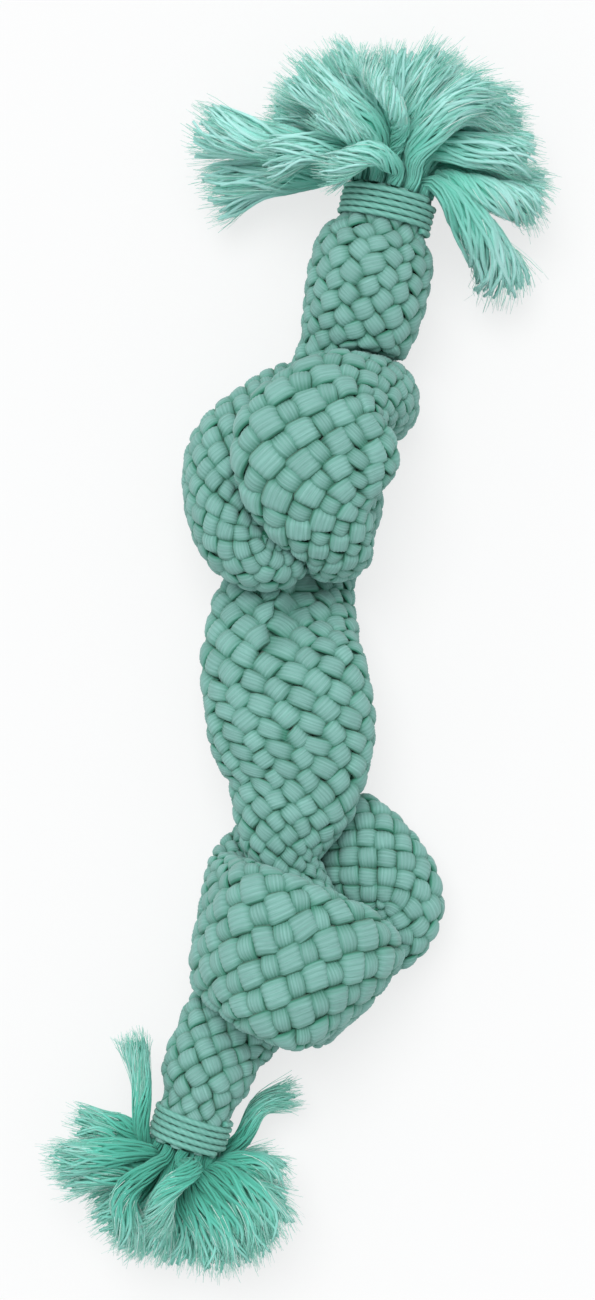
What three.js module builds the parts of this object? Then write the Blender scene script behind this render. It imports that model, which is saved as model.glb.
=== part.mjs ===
// Knotted rope dog toy: a soft braided sleeve over a core of cords, tied in two overhand knots,
// whipped with yarn at both ends and opened out into a tassel at each end.
// Millimetres, +Z up. The toy lies flat: its length runs along Y and it rests on the undersides of its knots.
import * as THREE from "three";

// Rope
const ropeDiameter = 34; // where nothing presses it: the whole route and the tufts follow it
const ropeHeight = 22.4; // centre plane of the rope above the surface it lies on
const flatSquareness = 0.4; // how much squarer than an ellipse a fully flattened section is
const leastWall = 1.9; // sleeve wall where the rope is pressed flat
const mostWall = 4.2; // sleeve wall where the rope is round
const wallShare = 0.24; // sleeve wall as a share of the rope's thickness, between those two
const coreClearance = 0.9; // between the core and the sleeve
const stretchGap = 0.3; // between one stretch of rope and the next
const pressedThickness = 12; // a band no thicker than this is drawn slim, to stand clear of the bands it crosses
const fullThickness = 20; // rope this thick is drawn at full size
const pressedWidthFit = 0.92;
const pressedThicknessFit = 0.9;
const floorSkin = 1.2; // sleeve left under the cavity where a knot is flattened by the surface
const ropeSides = 12;
const stepsPerRow = 2.5;

// Whippings
const yarnDiameter = 1.65;
const whippingLoops = 4;
const yarnGap = 0.37; // between neighbouring turns
const yarnSeat = 0.35; // between the yarn and the sleeve
const whippingSetback = 0.5; // from the rope's end to the yarn
const loopSteps = 24;
const yarnSides = 6;

// Tassels
const tuftGap = 0.3; // between the rope's end and a tuft
const tuftSides = 6;
const tuftRings = 9;
const riseShare = 0.19; // how far a tuft runs on along the rope, as a share of the rope end's diameter
const rootShare = 0.145; // diameter of a tuft at its root, as a share of the rope end's diameter
const swellShare = 0.27; // and at its thickest
const tipShare = 0.2; // and at its frayed tip
const ringRadiusShares = [0.418, 0.254, 0.093]; // tuft rings, as shares of the rope end's diameter

// The rope's route, end to end. Each row: centre x, y, height over the centre plane, width, thickness,
// and the direction its flat face looks in. It is drawn to the scale of its thickest row.
const drawnRoute = [
  // Upper whipping and neck
  [25, 130, 0, 23.5, 23.5, 0, 0, -1],
  [22.4, 119.6, 0, 23.5, 23.5, 0, 0, -1],
  [21, 114, 0, 31.5, 31.5, 0, 0, -1],
  [19, 106.5, 0, 35, 34, 0, 0, -1],
  [16.5, 96, -0.5, 33.5, 29, 0, 0, -1],
  [11.5, 86.5, -2, 26.5, 18, 0, 0, -1],
  // Upper knot: down behind the front band
  [7.5, 74, -3.5, 19.5, 12.5, 0, 0, -1],
  [5, 60, -4, 18, 10.5, 0, 0, -1],
  [3, 44, -5.5, 17.5, 9.5, 0, -0.1, -1],
  // Turn at the bottom
  [6, 28, -7.5, 19, 9, 0.1, -0.5, -0.8],
  [9.5, 19.5, 3, 20, 8.5, 0.2, -1, 0],
  // Front band, upwards
  [9, 26.5, 14, 21, 8.5, 0, -0.5, 0.85],
  [5, 38, 18.5, 33, 10.5, 0, -0.1, 1],
  [2.8, 49.5, 20.5, 43.5, 12, 0, 0, 1],
  [4, 60, 20.5, 42, 12, 0.05, 0.1, 1],
  [8.5, 70.5, 17.5, 28, 11, 0.2, 0.35, 0.92],
  // Round the right of the neck and behind it
  [17.8, 72.3, 10, 20, 11, 0.65, 0.4, 0.62],
  [25.5, 70.5, -1, 16, 12, 0.97, 0.15, 0],
  [22.5, 70, -13.5, 19.5, 10, 0.6, 0.1, -0.8],
  [10, 69.5, -19, 24.5, 9.5, 0, 0.1, -1],
  [-3.5, 68.5, -17, 27.5, 10, -0.3, 0.3, -0.9],
  [-14.5, 64.5, -10, 28.5, 12, -0.75, 0.5, -0.4],
  // Left band, down and round the bottom
  [-21.5, 55.5, -1.5, 29, 17, -0.9, 0.2, 0.4],
  [-22.5, 42, 2.5, 29, 19, -0.85, -0.3, 0.4],
  [-18.5, 29.5, 5, 25, 16, -0.6, -0.75, 0.3],
  [-10, 24.5, 6, 21.5, 9.5, -0.1, -0.9, 0.4],
  // Through the bottom turn, round to the back and out
  [-0.5, 31, 7.5, 17.5, 7.5, 0, -0.5, 0.85],
  [8.5, 39, 7.5, 17, 7.5, 0.2, -0.1, 0.97],
  [18, 42.5, -1.5, 17.5, 8, 0.97, -0.1, 0.2],
  [13.5, 38, -17, 20.5, 9, 0.3, -0.2, -0.9],
  [2, 27.5, -19, 28, 10, 0, -0.1, -0.98],
  [-3.5, 14, -13, 37.5, 13.5, 0, 0.1, -0.98],
  // Middle stretch
  [-6, 0.5, -3.5, 45.5, 22, 0.1, 0, -1],
  [-4, -13, 0, 48, 24, 0.1, 0, -1],
  [-2.5, -25.5, 0, 46.5, 23.5, 0, 0, -1],
  [-3, -37, 0, 39, 19.5, 0, 0, -1],
  [-5, -47.5, 0, 29.5, 14, 0, 0, -1],
  // Lower knot: down behind the front band and round to the right
  [-5, -58, 0.5, 23, 10.5, 0, 0, -1],
  [-2.5, -69, 0.5, 20, 9, 0, 0, -1],
  [6.5, -75, 0.5, 19, 8.5, 0, 0, -1],
  [19, -72.5, -0.5, 18.5, 8.5, -0.3, 0, -0.9],
  [30.5, -73, -4.5, 23, 8.5, -0.97, 0.1, 0.2],
  // Right band, up and behind the middle stretch
  [28, -64, -12, 27, 8.5, -0.25, 0.15, 0.95],
  [16.5, -55, -13.5, 32, 10, 0, 0, 1],
  [3, -54.5, -19, 26.5, 9, 0, 0, 1],
  [-10, -61.5, -19, 27, 9, 0.2, 0, 1],
  [-22, -71, -10.5, 34.5, 9, 0.85, -0.2, 0.5],
  // Front band, down to the right
  [-25.5, -77.5, 1, 41.5, 9.5, 0.95, -0.3, -0.05],
  [-17.5, -80.5, 13.5, 43.5, 10, 0.45, 0.1, -0.9],
  [-4.5, -85.5, 17, 44, 10.5, 0, 0, -1],
  [8, -90, 14.5, 43, 10, -0.4, 0.25, -0.85],
  [13.2, -94.2, 1.5, 37.5, 9, -0.62, 0.78, 0],
  // Round the back and out
  [4.5, -96.5, -12.5, 28.5, 9, -0.2, 0.3, 0.9],
  [-10, -97.5, -14.5, 25, 10.5, 0, 0, 1],
  [-19.5, -104, -8.5, 25, 15, 0, 0, 1],
  // Lower neck and whipping
  [-25.5, -114, -2, 26, 22, 0, 0, 1],
  [-27.6, -120.4, 0, 24.5, 24, 0, 0, 1],
  [-29.4, -126.5, 0, 19, 19, 0, 0, 1],
  [-33, -138, 0, 19, 19, 0, 0, 1],
];

// Where one stretch of the rope ends and the next begins, as shares of the route's rows
const upperNeckEndShare = 0.0966;
const upperKnotEndShare = 0.5414;
const middleEndShare = 0.631;
const lowerKnotEndShare = 0.9345;

// Tufts: ring (0 is the outermost), bearing round the rope's end (0 to the right, 90 upwards), and three points
// that it passes, the last its tip: x, y and height over the centre plane, to the route's scale
const upperTufts = [
  [0, 0, [40, 133, 2.5], [50, 128.5, 3.5], [66, 125.5, -2.5]],
  [0, 30, [41, 127.5, 7.5], [51, 114.5, -0.5], [57, 104.5, -12.5]],
  [0, 60, [31.5, 138.5, 14], [41, 150, 19], [51, 157, 15]],
  [0, 90, [24, 135.5, 16.5], [18.5, 137.5, 22], [6.5, 133, 15.5]],
  [0, 120, [18.5, 140, 14.5], [12, 145, 21], [5.5, 150, 20.5]],
  [0, 150, [15, 138.5, 9.5], [3, 140, 13.5], [-10, 137, 9.5]],
  [0, 180, [11, 139, 2.5], [-12, 143.5, 3.5], [-29, 147, -0.5]],
  [0, 210, [12.5, 136, -7], [-10, 135, -8.5], [-26, 129.5, -12.5]],
  [0, 240, [15.5, 143, -10], [4, 150, -12.5], [-8, 155, -13.5]],
  [0, 270, [24.5, 146, -11.5], [26, 156, -14.5], [28, 166, -15.5]],
  [0, 300, [34, 145, -10.5], [43, 151, -13.5], [54, 157, -14.5]],
  [0, 330, [39, 137, -6.5], [53, 133, -9.5], [68, 131, -12.5]],
  [1, 20, [35.5, 140.5, 5], [49, 140, 7.5], [63, 139.5, 2.5]],
  [1, 65, [32.5, 144, 9.5], [45, 151.5, 11.5], [57.5, 151, 7.5]],
  [1, 110, [27, 144, 15], [25, 150.5, 23], [16.5, 164.5, 17.5]],
  [1, 155, [21, 144, 9.5], [9.5, 152.5, 13.5], [-3, 161, 9.5]],
  [1, 200, [17, 143.5, -2], [6.5, 149.5, -2.5], [-8, 152.5, -2.5]],
  [1, 245, [21.5, 146.5, -7], [15, 158, -8.5], [6.5, 166.5, -10.5]],
  [1, 290, [31, 147, -6], [37, 158, -8.5], [46, 162.5, -10.5]],
  [1, 335, [38, 143, -1.5], [49, 147, -2.5], [61.5, 147.5, -5.5]],
  [2, 40, [30, 146.5, 5], [33.5, 157, 8.5], [39.5, 167, 5.5]],
  [2, 160, [23, 147, 3.5], [15, 158.5, 6.5], [7, 167, 4.5]],
  [2, 280, [26, 147, -2], [27.5, 158.5, -0.5], [29.5, 168.5, -2.5]],
];
const lowerTufts = [
  [0, 0, [-20.5, -143, -0.5], [-13.5, -144, -2.5], [-7, -148, -5.5]],
  [0, 30, [-23, -144, 6], [-15, -149.5, 8.5], [-7, -160, 3.5]],
  [0, 60, [-27, -146.5, 8.5], [-19.5, -153.5, 8.5], [-11.5, -166, 1.5]],
  [0, 90, [-29.5, -141.5, 14.5], [-37.5, -148.5, 15.5], [-41, -159, 10.5]],
  [0, 120, [-41, -142, 10.5], [-49.5, -150.5, 10.5], [-46.5, -164, 3.5]],
  [0, 150, [-42, -138.5, 6], [-53, -138.5, 7.5], [-69, -142, 1.5]],
  [0, 180, [-45.5, -133, 3.5], [-45.5, -119.5, 3.5], [-48.5, -106, 1.5]],
  [0, 210, [-42.5, -138.5, -5], [-51.5, -134, -7.5], [-63.5, -134, -10.5]],
  [0, 240, [-42, -145, -8], [-49, -149.5, -11.5], [-57.5, -157.5, -13.5]],
  [0, 270, [-37, -148, -10.5], [-40, -157, -13.5], [-42.5, -165.5, -15.5]],
  [0, 300, [-29, -148.5, -9.5], [-25.5, -158, -12.5], [-21.5, -167, -15.5]],
  [0, 330, [-17, -136, -9], [-11.5, -125, -8], [-0.5, -120.5, -10.5]],
  [1, 20, [-26.5, -149.5, 2], [-15.5, -151, 1.5], [-6, -155, -2.5]],
  [1, 65, [-29.5, -150.5, 5.5], [-24.5, -156, 8], [-16.5, -168, 1.5]],
  [1, 110, [-37.5, -148.5, 7.5], [-40, -155, 7], [-42.5, -166.5, 1]],
  [1, 155, [-42.5, -144.5, 2], [-52, -144, 3.5], [-66, -146, -2.5]],
  [1, 200, [-41.5, -147, -3], [-47, -153, -4.5], [-55, -161.5, -9.5]],
  [1, 245, [-37.5, -149, -6], [-42, -158, -8.5], [-48.5, -165.5, -12.5]],
  [1, 290, [-32, -149.5, -5.5], [-30, -159, -8.5], [-27.5, -169, -12.5]],
  [1, 335, [-27, -150.5, -3], [-16.5, -145.5, -10], [-10, -145, -13.5]],
  [2, 40, [-32, -152, 2], [-27, -159, 2.5], [-22.5, -171, -2.5]],
  [2, 160, [-37, -149, 2.5], [-41.5, -156.5, 0.5], [-49.5, -165.5, -5.5]],
  [2, 280, [-35.5, -150, -1.5], [-34, -160, -3], [-34.5, -170, -7.5]],
];

const mint = { sleeve: 0x86c4b8, core: 0x5aa893, yarn: 0x7dbcaf, tuft: 0x6fc4ae };

const lerp = THREE.MathUtils.lerp;
const smoothstep = THREE.MathUtils.smoothstep;
const radians = THREE.MathUtils.degToRad;

// The route in real size, as smooth curves over its rows
const routeScale = ropeDiameter / Math.max(...drawnRoute.map((row) => row[4]));
const route = drawnRoute.map((row) => row.map((value, i) => (i < 5 ? value * routeScale : value)));
const lastRow = route.length - 1;
const centreCurve = new THREE.CatmullRomCurve3(
  route.map(([x, y, z]) => new THREE.Vector3(x, y, z + ropeHeight)),
  false,
  "centripetal",
);
const sizeCurve = new THREE.CatmullRomCurve3(
  route.map((row) => new THREE.Vector3(row[3], row[4], 0)),
  false,
  "catmullrom",
  0.5,
);
const faceCurve = new THREE.CatmullRomCurve3(
  route.map((row) => new THREE.Vector3(row[5], row[6], row[7])),
  false,
  "catmullrom",
  0.5,
);

// Centre, axis, flat-face direction, edge direction and sizes of the rope at a row
function ropeAt(row) {
  const at = row / lastRow;
  const centre = centreCurve.getPoint(at);
  const axis = centreCurve.getTangent(at).normalize();
  const face = faceCurve.getPoint(at);
  face.addScaledVector(axis, -face.dot(axis)).normalize();
  const edge = new THREE.Vector3().crossVectors(axis, face);
  const size = sizeCurve.getPoint(at);
  const full = smoothstep(size.y, pressedThickness, fullThickness);
  const width = size.x * lerp(pressedWidthFit, 1, full);
  const thickness = size.y * lerp(pressedThicknessFit, 1, full);
  const wall = THREE.MathUtils.clamp(thickness * wallShare, leastWall, mostWall);
  return { centre, axis, face, edge, width, thickness, wall };
}

// One rounded section of the rope, drawn in by inset, and flattened at the lowest height it may reach
function sectionRing(rope, inset, lowest) {
  const ring = [];
  const power = 2 / (2 + flatSquareness * (1 - rope.thickness / rope.width));
  for (let side = 0; side < ropeSides; side++) {
    const angle = ((side + 0.5) / ropeSides) * 2 * Math.PI;
    const c = Math.cos(angle);
    const s = Math.sin(angle);
    const across = Math.sign(c) * Math.abs(c) ** power * (rope.thickness / 2 - inset);
    const along = Math.sign(s) * Math.abs(s) ** power * (rope.width / 2 - inset);
    const point = rope.centre.clone().addScaledVector(rope.face, across).addScaledVector(rope.edge, along);
    point.z = Math.max(point.z, lowest);
    ring.push(point);
  }
  return ring;
}

// Skins rings of equal length into a closed body: capped at both ends, or joined end to end
function loft(rings, joined) {
  const sides = rings[0].length;
  const points = rings.flat();
  const index = [];
  const spans = joined ? rings.length : rings.length - 1;
  for (let span = 0; span < spans; span++) {
    const here = span * sides;
    const next = ((span + 1) % rings.length) * sides;
    for (let side = 0; side < sides; side++) {
      const turn = (side + 1) % sides;
      index.push(here + side, next + side, here + turn);
      index.push(here + turn, next + side, next + turn);
    }
  }
  if (!joined) {
    for (const [ring, flip] of [
      [0, true],
      [rings.length - 1, false],
    ]) {
      const middle = points.length;
      points.push(rings[ring].reduce((sum, p) => sum.add(p), new THREE.Vector3()).divideScalar(sides));
      for (let side = 0; side < sides; side++) {
        const a = ring * sides + side;
        const b = ring * sides + ((side + 1) % sides);
        index.push(middle, flip ? a : b, flip ? b : a);
      }
    }
  }
  if (signedVolume(points, index) < 0) {
    for (let i = 0; i < index.length; i += 3) {
      [index[i + 1], index[i + 2]] = [index[i + 2], index[i + 1]];
    }
  }
  const geometry = new THREE.BufferGeometry().setFromPoints(points);
  geometry.setIndex(index);
  geometry.computeVertexNormals();
  return geometry;
}

function signedVolume(points, index) {
  const cross = new THREE.Vector3();
  let volume = 0;
  for (let i = 0; i < index.length; i += 3) {
    cross.crossVectors(points[index[i + 1]], points[index[i + 2]]);
    volume += points[index[i]].dot(cross) / 6;
  }
  return volume;
}

const toy = new THREE.Group();
const laid = new THREE.Group();
toy.add(laid);

function addPiece(name, geometry, color) {
  const material = new THREE.MeshStandardMaterial({ color, roughness: 0.95, metalness: 0 });
  const mesh = new THREE.Mesh(geometry, material);
  mesh.name = name;
  laid.add(mesh);
}

// Least distance between points of one wound body that lie more than `apart` rings from each other
function leastGap(rings, apart) {
  let least = Infinity;
  for (let a = 0; a < rings.length; a++) {
    for (let b = a + apart; b < rings.length; b++) {
      for (const p of rings[a]) {
        for (const q of rings[b]) {
          least = Math.min(least, p.distanceTo(q));
        }
      }
    }
  }
  return least;
}

// One stretch of rope between two shares of the route: the hollow sleeve and the core inside it
function addStretch(name, fromShare, toShare) {
  const fromRow = fromShare * lastRow;
  const toRow = toShare * lastRow;
  const rowsPerMm = (row) => 0.02 / centreCurve.getPoint((row - 0.01) / lastRow).distanceTo(
    centreCurve.getPoint((row + 0.01) / lastRow),
  );
  const first = fromRow === 0 ? 0 : fromRow + (stretchGap / 2) * rowsPerMm(fromRow);
  const last = toRow === lastRow ? lastRow : toRow - (stretchGap / 2) * rowsPerMm(toRow);
  const steps = Math.round((last - first) * stepsPerRow);
  const outer = [];
  const inner = [];
  const core = [];
  for (let step = 0; step <= steps; step++) {
    const rope = ropeAt(lerp(first, last, step / steps));
    outer.push(sectionRing(rope, 0, 0));
    inner.unshift(sectionRing(rope, rope.wall, floorSkin));
    core.unshift(sectionRing(rope, rope.wall + coreClearance, floorSkin + coreClearance));
  }
  addPiece(`${name}_sleeve`, loft([...outer, ...inner], true), mint.sleeve);
  addPiece(`${name}_core`, loft(core, false), mint.core);
  return outer;
}

// The rope's end: its outer face, the axis that points out of it, and the directions across it
function ropeEnd(row) {
  const rope = ropeAt(row);
  const out = rope.axis.clone().multiplyScalar(row === 0 ? -1 : 1);
  const up = new THREE.Vector3(0, 0, 1);
  const right = new THREE.Vector3().crossVectors(out, up).normalize();
  if (right.x < 0) right.negate();
  return { centre: rope.centre, out, up, right, diameter: rope.width };
}

// Yarn wound round the rope's end, its two ends running on straight for one diameter
function addWhipping(name, end) {
  const radius = end.diameter / 2 + yarnSeat + yarnDiameter / 2;
  const pitch = yarnDiameter + yarnGap;
  const start = whippingSetback + yarnDiameter / 2;
  const steps = whippingLoops * loopSteps;
  const path = [];
  for (let step = 0; step <= steps; step++) {
    const angle = (step / loopSteps) * 2 * Math.PI;
    path.push(
      end.centre
        .clone()
        .addScaledVector(end.out, -start - (pitch * step) / loopSteps)
        .addScaledVector(end.right, radius * Math.cos(angle))
        .addScaledVector(end.up, radius * Math.sin(angle)),
    );
  }
  const before = path[0].clone().sub(path[1]).setLength(yarnDiameter).add(path[0]);
  const after = path[steps].clone().sub(path[steps - 1]).setLength(yarnDiameter).add(path[steps]);
  path.unshift(before);
  path.push(after);
  const rings = path.map((point, i) => {
    const axis = path[Math.min(i + 1, path.length - 1)].clone().sub(path[Math.max(i - 1, 0)]).normalize();
    const side = new THREE.Vector3().crossVectors(axis, end.out).normalize();
    const lift = new THREE.Vector3().crossVectors(side, axis);
    const ring = [];
    for (let k = 0; k < yarnSides; k++) {
      const angle = (k / yarnSides) * 2 * Math.PI;
      ring.push(
        point
          .clone()
          .addScaledVector(side, (yarnDiameter / 2) * Math.cos(angle))
          .addScaledVector(lift, (yarnDiameter / 2) * Math.sin(angle)),
      );
    }
    return ring;
  });
  addPiece(name, loft(rings, false), mint.yarn);
  console.log(`${name}: least gap between turns ${leastGap(rings, loopSteps / 2).toFixed(2)} mm`);
}

// One tuft: it leaves the rope along its axis, runs through its points, swells and ends blunt
function addTuft(name, end, [ringNumber, bearing, ...passes]) {
  const outwards = end.right
    .clone()
    .multiplyScalar(Math.cos(radians(bearing)))
    .addScaledVector(end.up, Math.sin(radians(bearing)));
  const root = end.centre
    .clone()
    .addScaledVector(end.out, tuftGap)
    .addScaledVector(outwards, end.diameter * ringRadiusShares[ringNumber]);
  const risen = root.clone().addScaledVector(end.out, riseShare * end.diameter);
  const points = passes.map(([x, y, z]) => new THREE.Vector3(x, y, z).multiplyScalar(routeScale));
  points.forEach((point) => point.setZ(point.z + ropeHeight));
  const spine = new THREE.CatmullRomCurve3([root, risen, ...points], false, "catmullrom", 0.5);
  const lift = outwards.clone();
  const rings = [];
  for (let step = 0; step < tuftRings; step++) {
    const share = step / (tuftRings - 1);
    const axis = spine.getTangent(share);
    lift.addScaledVector(axis, -lift.dot(axis)).normalize();
    const sideways = new THREE.Vector3().crossVectors(axis, lift);
    const swelling = lerp(rootShare, swellShare, smoothstep(share, 0.2, 0.75));
    const diameterShare = share > 0.75 ? lerp(swellShare, tipShare, (share - 0.75) / 0.25) : swelling;
    const radius = (end.diameter * diameterShare) / 2;
    const ring = [];
    for (let k = 0; k < tuftSides; k++) {
      const around = (k / tuftSides) * 2 * Math.PI;
      ring.push(
        spine
          .getPoint(share)
          .addScaledVector(sideways, radius * Math.cos(around))
          .addScaledVector(lift, radius * Math.sin(around)),
      );
    }
    rings.push(ring);
  }
  addPiece(name, loft(rings, false), mint.tuft);
}

addStretch("upper_neck", 0, upperNeckEndShare);
const upperKnot = addStretch("upper_knot", upperNeckEndShare, upperKnotEndShare);
addStretch("middle", upperKnotEndShare, middleEndShare);
const lowerKnot = addStretch("lower_knot", middleEndShare, lowerKnotEndShare);
addStretch("lower_neck", lowerKnotEndShare, 1);
const upperEnd = ropeEnd(0);
const lowerEnd = ropeEnd(lastRow);
addWhipping("upper_whipping", upperEnd);
addWhipping("lower_whipping", lowerEnd);
upperTufts.forEach((tuft, i) => addTuft(`upper_tuft_${String(i + 1).padStart(2, "0")}`, upperEnd, tuft));
lowerTufts.forEach((tuft, i) => addTuft(`lower_tuft_${String(i + 1).padStart(2, "0")}`, lowerEnd, tuft));

console.log(`upper knot: least gap between bands ${leastGap(upperKnot, 12).toFixed(2)} mm`);
console.log(`lower knot: least gap between bands ${leastGap(lowerKnot, 12).toFixed(2)} mm`);

// The toy stands with the middle of its outline over the origin and its underside at zero
const box = new THREE.Box3().setFromObject(laid);
const middle = box.getCenter(new THREE.Vector3());
laid.position.set(-middle.x, -middle.y, -box.min.z);

export default toy;
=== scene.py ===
import math

import bpy
import numpy as np
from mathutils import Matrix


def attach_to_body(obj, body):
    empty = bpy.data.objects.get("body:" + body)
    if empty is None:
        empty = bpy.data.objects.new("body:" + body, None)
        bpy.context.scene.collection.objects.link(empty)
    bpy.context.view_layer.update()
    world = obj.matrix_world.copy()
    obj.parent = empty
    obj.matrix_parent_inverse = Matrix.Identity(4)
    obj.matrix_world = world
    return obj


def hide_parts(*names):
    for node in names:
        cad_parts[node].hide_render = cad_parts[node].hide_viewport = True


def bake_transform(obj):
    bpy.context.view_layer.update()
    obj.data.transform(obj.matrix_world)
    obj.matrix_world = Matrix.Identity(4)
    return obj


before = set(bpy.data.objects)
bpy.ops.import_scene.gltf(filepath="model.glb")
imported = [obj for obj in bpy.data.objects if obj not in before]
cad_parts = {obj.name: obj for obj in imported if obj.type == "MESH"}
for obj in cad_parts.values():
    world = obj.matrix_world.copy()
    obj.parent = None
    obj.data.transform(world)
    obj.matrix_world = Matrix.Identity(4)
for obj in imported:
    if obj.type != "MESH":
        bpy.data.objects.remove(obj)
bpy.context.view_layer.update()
metre = 0.001  # everything below is worked out in millimetres
scene = bpy.context.scene
print("frame loaded:", len(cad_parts), "solids")


# Camera, floor and light

studio = {
    "viewCentre": (-0.8, 2.5, 22.4),  # point of the rope's centre plane in the middle of the picture
    "viewHeight": 364.0,  # what the picture's height takes in at that plane
    "cameraHeight": 1100.0,  # over that plane
    "floorSize": 3.0,  # m
    "floorWhite": 0.86,
    "shadowShare": 0.28,  # how much of the object's shadow the camera sees on the floor
    "skyColour": (0.97, 0.99, 1.0, 1.0),
    "skyStrength": 0.62,
    "keyStrength": 1.7,
    "keyAngle": 38.0,  # degrees that the key light spans
    "keyFrom": (-0.15, 0.42, 1.0),  # direction towards it
}


def linearColour(text):
    # each of the three hex pairs taken from screen to linear light
    parts = [int(text[i:i + 2], 16) / 255 for i in (1, 3, 5)]
    return tuple(p / 12.92 if p <= 0.04045 else ((p + 0.055) / 1.055) ** 2.4 for p in parts) + (1.0,)


def newMaterial(name):
    material = bpy.data.materials.new(name)
    material.use_nodes = True
    material.node_tree.nodes.clear()
    return material, material.node_tree


def addNode(tree, kind, values=None, sources=None, operation=None):
    # constants, and nodes with the number or name of their output, by input
    node = tree.nodes.new("ShaderNode" + kind)
    if operation:
        node.operation = operation
    for socket, value in (values or {}).items():
        node.inputs[socket].default_value = value
    for socket, (source, output) in (sources or {}).items():
        tree.links.new(source.outputs[output], node.inputs[socket])
    return node


def whiteForTheEye(tree):
    # 1 for rays that show the background: straight, mirrored or seen through
    path = addNode(tree, "LightPath")
    rays = {0: (path, "Is Camera Ray"), 1: (path, "Is Glossy Ray")}
    first = addNode(tree, "Math", None, rays, "MAXIMUM")
    return addNode(tree, "Math", None, {0: (first, 0), 1: (path, "Is Transmission Ray")}, "MAXIMUM")


def makeStudio():
    x, y, z = studio["viewCentre"]
    camera = bpy.data.cameras.new("photoCamera")
    camera.sensor_width = 36.0
    camera.sensor_fit = "AUTO"  # the picture is taller than wide, so the sensor's width is its height
    camera.lens = camera.sensor_width * studio["cameraHeight"] / studio["viewHeight"]
    camera.clip_end = 50.0
    stand = bpy.data.objects.new("photoCamera", camera)
    stand.location = (x * metre, y * metre, (z + studio["cameraHeight"]) * metre)
    scene.collection.objects.link(stand)
    scene.camera = stand

    sun = bpy.data.lights.new("keyLight", "SUN")
    sun.energy = studio["keyStrength"]
    sun.angle = math.radians(studio["keyAngle"])
    lamp = bpy.data.objects.new("keyLight", sun)
    toward = np.array(studio["keyFrom"]) / np.linalg.norm(studio["keyFrom"])
    lamp.rotation_euler = (math.acos(toward[2]), 0.0, math.atan2(toward[1], toward[0]) + math.pi / 2)
    scene.collection.objects.link(lamp)

    world = bpy.data.worlds.new("softSky")
    world.use_nodes = True
    tree = world.node_tree
    tree.nodes.clear()
    white = (1.0, 1.0, 1.0, 1.0)
    light = addNode(tree, "Background", {"Color": studio["skyColour"], "Strength": studio["skyStrength"]})
    seen = addNode(tree, "Background", {"Color": white, "Strength": 1.0})
    eye = whiteForTheEye(tree)
    choose = addNode(tree, "MixShader", None, {0: (eye, 0), 1: (light, 0), 2: (seen, 0)})
    addNode(tree, "OutputWorld", None, {0: (choose, 0)})
    scene.world = world

    material, tree = newMaterial("paleFloor")
    paper = addNode(tree, "BsdfDiffuse", {"Color": (studio["floorWhite"],) * 3 + (1.0,)})
    glow = addNode(tree, "Emission", {"Color": white, "Strength": 1.0})
    eye = whiteForTheEye(tree)
    share = addNode(tree, "Math", {1: 1.0 - studio["shadowShare"]}, {0: (eye, 0)}, "MULTIPLY")
    mix = addNode(tree, "MixShader", None, {0: (share, 0), 1: (paper, 0), 2: (glow, 0)})
    addNode(tree, "OutputMaterial", None, {0: (mix, 0)})
    half = studio["floorSize"] / 2
    mesh = bpy.data.meshes.new("floor")
    corners = [(-half, -half, 0), (half, -half, 0), (half, half, 0), (-half, half, 0)]
    mesh.from_pydata(corners, [], [(0, 1, 2, 3)])
    mesh.materials.append(material)
    floor = bpy.data.objects.new("floor", mesh)
    scene.collection.objects.link(floor)

    scene.view_settings.view_transform = "Standard"


makeStudio()
print("studio ready")


# The rope's route, row by row: centre x, y, height over the centre plane, width, thickness,
# and the direction its flat face looks in

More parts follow.
